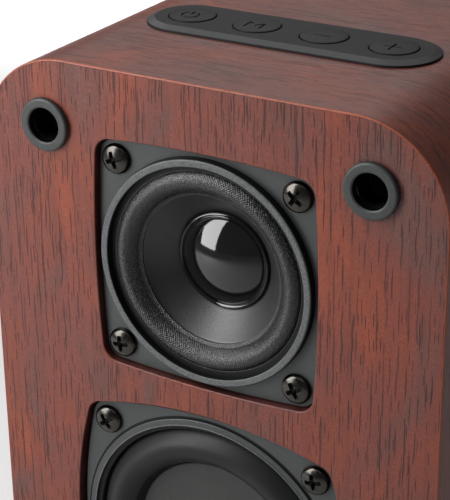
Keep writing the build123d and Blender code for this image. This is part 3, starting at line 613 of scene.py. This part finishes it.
def dress_frame():
    """Every CAD node takes the look of its slot. The veneered ones have none, for pieces stand for them."""
    for entry in frame["record"]["subparts"]:
        look = LOOKS.get(entry["material_slot"])
        if look is not None:
            node = frame["nodes"][entry["node"]]
            node.data.materials.clear()
            node.data.materials.append(look)
            shade(node, 30)


# ------------------------------------------------------------------ cabinet
def mark_edge_highlight(piece, test):
    """Writes the edge attribute, 1 on the rounded front edge, where the veneer takes a lighter orange as a
    painted highlight.
    """
    layer = piece.data.attributes.new("edge", "FLOAT", "POINT")
    layer.data.foreach_set("value", [1.0 if test(vertex.co / MM) else 0.0 for vertex in piece.data.vertices])


def soft_edge(radius, level, side=1):
    """(inset, level) steps of a rounded edge from a front face to a wall. Side is -1 round a hole."""
    steps = 4
    angles = [math.radians(90 * step / steps) for step in range(steps + 1)]
    return [(radius * (1 - math.sin(angle)) * side, level + radius * (1 - math.cos(angle)))
            for angle in angles]


def front_board():
    """The front board with its two recesses, the bores in them and the holes for the grille sockets."""
    shape = Shape()
    outer = rounded_rectangle(0, MIDDLE, HALF_WIDTH, HALF_HEIGHT, CORNER)
    edge, lip_edge = 0.4, 0.35
    front_ring, edge_ring = shape.wall(outer, soft_edge(edge, FRONT))
    band = [(0, FRONT + edge), (0, FRONT + edge + 0.05), (0, BOARD_BACK)]
    start = (FRONT + edge - BOARD_BACK) * MM
    edge_ring, back_ring = shape.wall(outer, band, 1, start, edge_ring)
    front_holes, back_holes = [], []
    units = ((DRIVER_Z, DRIVER_RECESS, DRIVER_BORE), (RADIATOR_Z, RADIATOR_RECESS, RADIATOR_BORE))
    for z, recess, bore in units:
        outline = bowed_square(z, *recess)
        lip, rim = shape.wall(outline, soft_edge(lip_edge, FRONT, -1))
        # the recess walls take the dark maroon of painted shade
        rim, floor = shape.wall(outline, [(0, FRONT + lip_edge), (0, RECESS_FLOOR)], 2, 0, rim)
        inner, back = shape.wall(round_outline(0, z, bore), [(0, RECESS_FLOOR), (0, BOARD_BACK)])
        shape.cap(floor, inner)
        front_holes.append(lip)
        back_holes.append(back)
    for name in SOCKETS:
        centre = centre_mm(name)
        hole = round_outline(centre.x, centre.z, SHANK_RADIUS, 64)
        near, far = shape.wall(hole, [(0, FRONT), (0, BOARD_BACK)])
        front_holes.append(near)
        back_holes.append(far)
    shape.cap(front_ring, *front_holes)
    shape.cap(back_ring, *back_holes)
    board = shape.finish("front_board", [FRONT_VENEER, WRAP_VENEER, RECESS_SHADE_AND_BACK_PAINT])

    # the rounded outer front edge, which takes the painted highlight
    def highlight_edge(co):
        beside_recesses = abs(co.x) > HALF_WIDTH - 20 or abs(co.z - MIDDLE) > HALF_HEIGHT - 8
        return beside_recesses and FRONT + 0.02 < co.y < FRONT + edge + 0.02
    mark_edge_highlight(board, highlight_edge)
    settle(board, "cabinet", "front_baffle")


def cabinet_wrap():
    """The box behind the front board, with the pocket for the panel and the open back."""
    shape = Shape()
    outer = rounded_rectangle(0, MIDDLE, HALF_WIDTH, HALF_HEIGHT, CORNER, 32)
    inner = rounded_rectangle(0, MIDDLE, HALF_WIDTH - WALL, HALF_HEIGHT - WALL, CORNER - WALL, 32)
    depth = BACK - BOARD_BACK
    steps = [(0, BOARD_BACK + depth * step / 12) for step in range(12)]
    rear = [(0, BACK - 0.8), (0.08, BACK - 0.49), (0.23, BACK - 0.23), (0.49, BACK - 0.08), (0.8, BACK)]
    front_outer, back_outer = shape.wall(outer, steps + rear)
    front_inner, back_inner = shape.wall(inner, [(0, BOARD_BACK), (0, BACK)])
    shape.cap(front_outer, front_inner)
    # the back edge takes the dark maroon as dark paint
    shape.cap(back_outer, back_inner, material=1)
    wrap = shape.finish("cabinet_wrap", [WRAP_VENEER, RECESS_SHADE_AND_BACK_PAINT])
    tool = Shape(TOP_AXIS)
    pill = rounded_rectangle(0, PANEL_Y, 39, 9, 8.99, 16)
    tool.plug(pill, [(0, TOP + 2), (0, TOP - WALL - 1)])
    carve(wrap, tool)
    settle(wrap, "cabinet", "cabinet_shell")


def grille_sockets():
    """Rubber cups for the grille's pins, with a small grip rib in a bore that takes painted shade behind it.
    """
    collar, bore, grip = 7.15, 4.55, 4.25
    front, seat, floor, tail = FRONT - 1.5, FRONT + 0.02, FRONT + 7.5, FRONT + 11
    rib_end = FRONT + 2.4
    corners = [(bore, front + 0.35), (bore + 0.35, front), (collar, front), (collar, seat),
               (SHANK_RADIUS, seat), (SHANK_RADIUS, tail), (0, tail), (0, floor), (bore, floor),
               (bore, rib_end), (grip, FRONT + 1.9), (grip, FRONT + 1.1), (bore, FRONT + 0.6)]
    profile = rounded(corners, [0.12, 0.25, 0.9, 0.15, 0, 0.3, 0, 0, 0.6, 0.2, 0.2, 0.2, 0.2], 6)
    for name in SOCKETS:
        centre = centre_mm(name)
        shape = Shape()
        shape.turn(profile, (centre.x, centre.z), 96)
        piece = shape.finish(name + "_cup", [LOOKS["socket_rubber"], LOOKS["gloss_black"], PAINTED_SHADE_BLACK])
        for face in piece.data.polygons:
            middle = face.center / MM
            radius = math.hypot(middle.x - centre.x, middle.z - centre.z)
            inside = radius < bore + 0.1 and middle.y < floor + 0.5
            # glossy black at the mouth; deeper in the bore, painted shade
            face.material_index = (1 if middle.y < rib_end else 2) if inside else 0
        settle(piece, "cabinet", name)


# ------------------------------------------------------------------ driver
FINE_TURN = 192


def roll(outer, inner, height, count=28, power=0.8):
    """(radius, level) points over a half roll between two edges. A lower power makes a fuller arch."""
    points = []
    for step in range(count + 1):
        t = step / count
        radius = outer[0] + (inner[0] - outer[0]) * t
        base = outer[1] + (inner[1] - outer[1]) * t
        points.append((radius, base - height * math.sin(math.pi * t) ** power))
    return points


def radial_blend(piece):
    """Bakes the piece's transform into its mesh."""
    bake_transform(piece)


def turned(name, profile, centre, body, slot, node, sharp=35):
    """A turned piece in the look of its slot."""
    shape = Shape()
    shape.turn(profile, centre, FINE_TURN)
    piece = shape.finish(name, [LOOKS[slot]], sharp)
    settle(piece, body, node)
    return piece


def sheet(front, thickness):
    """A closed profile from a front line of (radius, level) points and a thickness."""
    return front + [(radius, level + thickness) for radius, level in reversed(front)]


def paint_shading(piece, centre_z, wanted, look=None):
    """Gives the faces whose (radius, level) is wanted another look, by default the near-black of painted
    shade.
    """
    piece.data.materials.append(look or PAINTED_SHADE_BLACK)
    last = len(piece.data.materials) - 1
    for face in piece.data.polygons:
        middle = face.center / MM
        if wanted(math.hypot(middle.x, middle.z - centre_z), middle.y):
            face.material_index = last


def bent_sheet(name, front, thickness, centre, slot, outer, node):
    """A turned surround, black with painted shade beyond its outer radius."""
    shape = Shape()
    shape.turn(sheet(front, thickness), centre, FINE_TURN)
    piece = shape.finish(name, [LOOKS[slot]], 60)
    # faces beyond the outer radius take painted shade, a black band under the trim ring
    paint_shading(piece, centre[1], lambda radius, level: radius > outer + 0.1)
    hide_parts(node)
    radial_blend(piece)


def cross_outline(x, z, arm, half, spin):
    """The outline of a cross recess, whose arms grow shorter and thinner with the inset."""
    def outline(inset):
        long, thin = arm - 2.2 * inset, half - 0.5 * inset
        corner = [(long, -thin), (long, thin), (thin, thin)]
        points = []
        for turn in range(4):
            angle = math.radians(90 * turn + spin)
            points += [
                (x + a * math.cos(angle) - b * math.sin(angle), z + a * math.sin(angle) + b * math.cos(angle))
                for a, b in corner
            ]
        return points
    return outline


def domed(radius, edge, crown, count=10):
    """(radius, level) points of a shallow dome, from its middle to its edge."""
    sphere = (radius**2 + (crown - edge) ** 2) / (2 * abs(crown - edge))
    sign = 1 if crown > edge else -1
    points = []
    for step in range(count + 1):
        r = radius * step / count
        points.append((r, crown - sign * (sphere - math.sqrt(sphere**2 - r**2))))
    return points


def screw(name, x, z, spin, node):
    """A pan-head screw with a cross recess, its head on the drive units' face."""
    crown = FACE - SCREW_HEIGHT
    shank = SCREW_RADIUS * 0.42
    top = domed(SCREW_RADIUS * 0.9, crown + SCREW_HEIGHT * 0.42, crown)
    side = [(SCREW_RADIUS, crown + SCREW_HEIGHT * 0.72), (SCREW_RADIUS, FACE), (shank, FACE)]
    tip = [(shank, FACE + 8), (0, FACE + 9.2)]
    shape = Shape()
    shape.turn(top + side + tip, (x, z), 48, closed=False)
    piece = shape.finish(name, [LOOKS["black_screw"], PAINTED_SHADE_BLACK])
    tool = Shape()
    cross = cross_outline(x, z, SCREW_RADIUS * 0.62, SCREW_RADIUS * 0.155, spin)
    # the cut walls of the cross recess take material 1, painted shade
    tool.plug(cross, [(0, crown - 0.5), (0, crown + 0.15), (0.5, crown + 1.5)], 1)
    carve(piece, tool)
    settle(piece, "cabinet", node)


def corner_screws(name, centre_z, pitch, spins, node):
    """Four screws on the corners of a square, numbered from the top left."""
    for index, spin in enumerate(spins):
        side = 1 if index % 2 else -1
        above = 1 if index < 2 else -1
        screw(name + "_" + str(index + 1), side * pitch / 2, centre_z + above * pitch / 2, spin, node)


def driver_pieces():
    """Trim ring, cloth surround, paper cone, glossy dome and screws of the driver."""
    centre = (0, DRIVER_Z)
    ring_front = box_mm("driver_ring")[0].y
    ring = rounded([(28.7, FACE), (28.7, ring_front + 0.25), (28.95, ring_front + 0.05), (30.4, ring_front),
                    (30.8, ring_front + 0.4), (30.8, FACE)], [0, 0.15, 0.15, 0.15, 0.2, 0], 4)
    trim = turned("driver_trim", ring, centre, "cabinet", "trim_plastic", "driver_ring")
    # the ring's inner and outer walls take painted shade; only its flat face keeps the trim plastic
    paint_shading(trim, DRIVER_Z, lambda radius, level: not 28.85 < radius < 30.65 or level > FACE - 0.15)

    edge = box_mm("driver_cone")[0].y
    lip = 21.3
    root = 27.1
    front = [(30.6, FACE - 0.35), (root + 0.2, FACE - 0.35)]
    front += roll((root, FACE - 0.3), (lip - 0.3, edge - 0.45), 2.1) + [(lip - 1.1, edge - 0.1)]
    bent_sheet("driver_surround_cloth", front, 0.35, centre, "surround_cloth",
               root, "driver_surround")

    neck, throat = 10.0, box_mm("driver_cone")[1].y - 0.6
    shoulder, shelf = lip - 0.5, edge + 0.35
    cone = [(lip, edge + 0.15), (shoulder, shelf)]
    cone += [(shoulder + (neck - shoulder) * step / 10, shelf + (throat - shelf) * (step / 10) ** 0.96)
             for step in range(1, 11)]
    turned("driver_cone_paper", sheet(cone, 0.5), centre, "driver_diaphragm", "cone_paper", "driver_cone", 60)

    low, high = box_mm("driver_dust_cap")
    rim, seat, crown = 13.35, high.y - 0.4, low.y
    dome = domed(11.9, seat - 0.9, crown, 20)
    cap = dome + [(12.0, seat - 0.72), (12.15, seat - 0.66)]
    cap += [(12.3, seat - 0.9), (12.5, seat - 1.15), (12.75, seat - 1.28), (13.0, seat - 1.22),
            (13.2, seat - 1.0), (13.3, seat - 0.72), (rim, seat - 0.4), (rim, seat + 0.1)]
    cap += [(rim - 0.6, seat + 0.1), (11.4, seat - 0.2), (0, crown + 0.7)]
    turned("driver_dome", cap, centre, "driver_diaphragm", "gloss_black", "driver_dust_cap", 40)
    corner_screws("driver_screw", DRIVER_Z, DRIVER_PITCH, DRIVER_SPINS, "driver_screws")


def radiator_pieces():
    """Trim ring, rubber surround, flat disc and screws of the passive radiator."""
    centre = (0, RADIATOR_Z)
    front = FACE - 0.75
    ring = rounded([(37.3, FACE), (37.3, front - 0.1), (37.65, front - 0.1), (37.75, front + 0.1),
                    (39.2, front + 0.2), (39.3, FACE - 0.05), (39.9, FACE - 0.05), (39.9, FACE)],
                   [0, 0.15, 0.15, 0, 0.25, 0, 0, 0], 5)
    trim = turned("radiator_trim", ring, centre, "cabinet", "frame_paint", "radiator_ring")
    # the groove beyond the ring and the ring's back take painted shade
    paint_shading(trim, RADIATOR_Z, lambda radius, level: radius > 39.22 or level > FACE - 0.1)
    # the inner lip takes the lighter trim plastic: a painted highlight line
    paint_shading(trim, RADIATOR_Z, lambda radius, level: 37.3 < radius < 37.68 and level < front + 0.02,
        LOOKS["trim_plastic"])

    outer, inner = 36.2, 28.3
    low, high = box_mm("radiator_plate")
    floor = low.y + 2.4
    skirt = [(37.25, FACE + 0.05), (36.2, FACE + 0.15), (35.85, FACE + 0.5)]
    bend = roll((35.8, FACE + 2.2), (25.6, FACE + 1.2), 3.4, 40, 0.88)
    dish = [(25.2, floor - 0.5), (24.6, floor - 0.1)]
    bent_sheet("radiator_surround_rubber", skirt + bend + dish, 0.5, centre, "surround_rubber",
               outer, "radiator_surround")

    plate = [(0, floor - 0.25), (24.1, floor - 0.25), (24.4, floor - 0.1), (24.5, floor + 0.15),
             (25.4, floor + 0.2), (27.3, low.y + 1.3), (28.2, low.y + 0.5), (28.3, low.y + 0.9),
             (27.6, low.y + 1.7), (24.6, high.y), (0, high.y)]
    disc = turned("radiator_disc", plate, centre, "radiator_diaphragm", "disc_plastic", "radiator_plate", 32)
    # the disc's rim beyond 24.2 mm takes painted shade, a dark line at its edge
    paint_shading(disc, RADIATOR_Z, lambda radius, level: radius > 24.2)
    corner_screws("radiator_screw", RADIATOR_Z, RADIATOR_PITCH, RADIATOR_SPINS, "radiator_screws")


# ------------------------------------------------------------------ control panel
def control_panel():
    """The pill-shaped panel: a bevelled rim, four button wells and the plug through the cabinet."""
    top = PANEL_HIGH.z
    half_length, half_depth = (PANEL_HIGH.x - PANEL_LOW.x) / 2, (PANEL_HIGH.y - PANEL_LOW.y) / 2
    outline = rounded_rectangle(0, PANEL_Y, half_length, half_depth, half_depth - 0.02, 32)
    shape = Shape(TOP_AXIS)
    bevel = [(0, TOP + 0.02), (0, top - 1.0), (0.04, top - 0.92), (0.12, top - 0.86)]
    slope = [bevel[-1], (1.9, top - 0.06), (2.05, top)]
    lower = [(4.0, PANEL_LOW.z), (4.0, TOP + 0.02)]
    foot, shoulder = shape.wall(outline, lower)
    skirt, ledge = shape.wall(outline, bevel)
    # the bevel's slope takes the lighter plastic of the painted highlight
    ledge, rim = shape.wall(outline, slope, 2, 0, ledge)
    shape.cap(skirt, shoulder)
    wells_top, wells_bottom = [], []
    for key in KEYS:
        place = centre_mm(key + "_button")
        well = round_outline(place.x, place.y, WELL_RADIUS, 64)
        steps = [(-0.18, top), (-0.05, top - 0.06), (0, top - 0.2), (0, PANEL_LOW.z)]
        # the well walls take painted shade, the dark gap round each key
        near, far = shape.wall(well, steps, 1)
        wells_top.append(near)
        wells_bottom.append(far)
    shape.cap(rim, *wells_top)
    shape.cap(foot, *wells_bottom)
    panel = shape.finish("panel_top", [LOOKS["panel_plastic"], PAINTED_SHADE_BLACK, PANEL_SLOPE_HIGHLIGHT], 20)
    settle(panel, "cabinet", "control_panel")


def bar_points(x, y, half_length, half_width):
    return [(x + half_length, y - half_width), (x + half_length, y + half_width),
            (x - half_length, y + half_width), (x - half_length, y - half_width)]


def sign_points(kind, x, y):
    """The closed outlines of a key's sign, read from the front."""
    thin = 0.3
    if kind == "volume_down":
        return [bar_points(x, y, 2.35, thin)]
    if kind == "volume_up":
        arm = 2.6
        corner = [(arm, -thin), (arm, thin), (thin, thin)]
        quarter = [[(a, b), (-b, a), (-a, -b), (b, -a)] for a, b in corner]
        return [[(x + quarter[i][turn][0], y + quarter[i][turn][1]) for turn in range(4) for i in range(3)]]
    if kind == "mode":
        half, rise, dip = 2.55, 2.1, -0.9
        legs = [bar_points(x + side * (half - thin), y, thin, rise) for side in (-1, 1)]
        vee = [(-half, rise), (-half + 3 * thin, rise), (0, dip + 1.5 * thin),
               (half - 3 * thin, rise), (half, rise), (0, dip - 1.5 * thin)]
        return legs + [[(x + a, y + b) for a, b in vee]]
    radius, gap = 2.3, 34
    outside = arc((x, y), radius + thin, 90 + gap, 450 - gap, 40)
    inside = arc((x, y), radius - thin, 450 - gap, 90 + gap, 40)
    stem = [(x + thin, y + 0.3), (x + thin, y + 2.7), (x - thin, y + 2.7), (x - thin, y + 0.3)]
    return [outside + inside, stem]


def buttons():
    """Domed key caps, each with its sign cut into the top."""
    for key in KEYS:
        low, high = box_mm(key + "_button")
        centre = ((low.x + high.x) / 2, (low.y + high.y) / 2)
        edge, crown = high.z - 0.38, high.z
        top = domed(CAP_RADIUS - 0.2, edge + 0.02, crown, 14)
        side = [(CAP_RADIUS - 0.06, edge - 0.06), (CAP_RADIUS, edge - 0.2), (CAP_RADIUS, low.z)]
        shape = Shape(TOP_AXIS)
        shape.turn(top + side + [(0, low.z)], centre, 96, closed=False)
        piece = shape.finish(key + "_cap", [LOOKS["button_plastic"], SYMBOL_INK], 40)
        for points in sign_points(key, centre[0], centre[1] - SIGN_SHIFT):
            tool = Shape(TOP_AXIS)
            tool.plug(lambda inset: points, [(0, crown + 1), (0, crown - SIGN_DEPTH)], 1)
            carve(piece, tool)
        settle(piece, key + "_key", key + "_button")


def build():
    """The object's looks and pieces, from the cabinet to the keys."""
    dress_frame()
    front_board()
    cabinet_wrap()
    grille_sockets()
    driver_pieces()
    radiator_pieces()
    control_panel()
    buttons()


# ------------------------------------------------------------------ stage
CAMERA_PLACE = Vector((200.81, -390.93, 327.32)) * MM
CAMERA_TURN = (30.791, 24.238, -0.627)  # azimuth, pitch and tilt in degrees
CAMERA_LENS = 121.338
FLOOR_REACH = 6.0


def lay_floor():
    floor_mesh = bpy.data.meshes.new("floor")
    corners = [(-FLOOR_REACH, -FLOOR_REACH, 0), (FLOOR_REACH, -FLOOR_REACH, 0),
               (FLOOR_REACH, FLOOR_REACH, 0), (-FLOOR_REACH, FLOOR_REACH, 0)]
    floor_mesh.from_pydata(corners, [], [(0, 1, 2, 3)])
    floor = bpy.data.objects.new("floor", floor_mesh)
    bpy.context.scene.collection.objects.link(floor)
    paint = Paint("floor_paint")
    paint.set(Base_Color=(0.66, 0.66, 0.66, 1), Roughness=0.9, Specular_IOR_Level=0.2)
    floor_mesh.materials.append(paint.material)


def lamp(name, place, size, power, target=(0, 0, 0.12)):
    """A rectangular area lamp aimed at a target, in metres and watts."""
    data = bpy.data.lights.new(name, "AREA")
    data.shape = "RECTANGLE"
    data.size, data.size_y = size
    data.energy = power
    light = bpy.data.objects.new(name, data)
    light.location = place
    aim = Vector(target) - Vector(place)
    light.rotation_euler = aim.to_track_quat("-Z", "Y").to_euler()
    bpy.context.scene.collection.objects.link(light)


def hang_lamps():
    """The view transform, a dim white world, the soft lamps, and a spot that whitens the floor behind."""
    scene = bpy.context.scene
    scene.view_settings.view_transform = "Standard"
    world = bpy.data.worlds.new("studio")
    scene.world = world
    world.use_nodes = True
    background = world.node_tree.nodes["Background"]
    background.inputs["Color"].default_value = (1, 1, 1, 1)
    background.inputs["Strength"].default_value = 0.13

    lamp("key", (-0.325, -0.385, 0.37), (0.27, 0.58), 4.8)
    lamp("ceiling", (0, 0.3, 2.6), (4, 4), 30)
    lamp("behind", (-0.6, 0.75, 0.8), (0.9, 0.9), 3.6, (-0.55, 0.7, 0))

    pool = bpy.data.lights.new("pool", "SPOT")
    pool.energy = 110
    pool.spot_size = math.radians(66)
    pool.spot_blend = 0.6
    pool.shadow_soft_size = 0.08
    spot = bpy.data.objects.new("pool", pool)
    spot.location = (-0.75, 1.0, 1.3)
    scene.collection.objects.link(spot)


def set_camera():
    azimuth, pitch, tilt = (math.radians(angle) for angle in CAMERA_TURN)
    forward = Vector((-math.sin(azimuth) * math.cos(pitch), math.cos(azimuth) * math.cos(pitch),
                      -math.sin(pitch)))
    right = Vector((math.cos(azimuth), math.sin(azimuth), 0))
    up = right.cross(forward)
    tilted_right = right * math.cos(tilt) + up * math.sin(tilt)
    tilted_up = up * math.cos(tilt) - right * math.sin(tilt)
    data = bpy.data.cameras.new("camera")
    data.lens = CAMERA_LENS
    data.sensor_width = 36
    data.clip_start = 0.01
    camera = bpy.data.objects.new("camera", data)
    camera.matrix_world = Matrix((tilted_right, tilted_up, -forward)).transposed().to_4x4()
    camera.location = CAMERA_PLACE
    bpy.context.scene.collection.objects.link(camera)
    bpy.context.scene.camera = camera


build()
lay_floor()
hang_lamps()
set_camera()
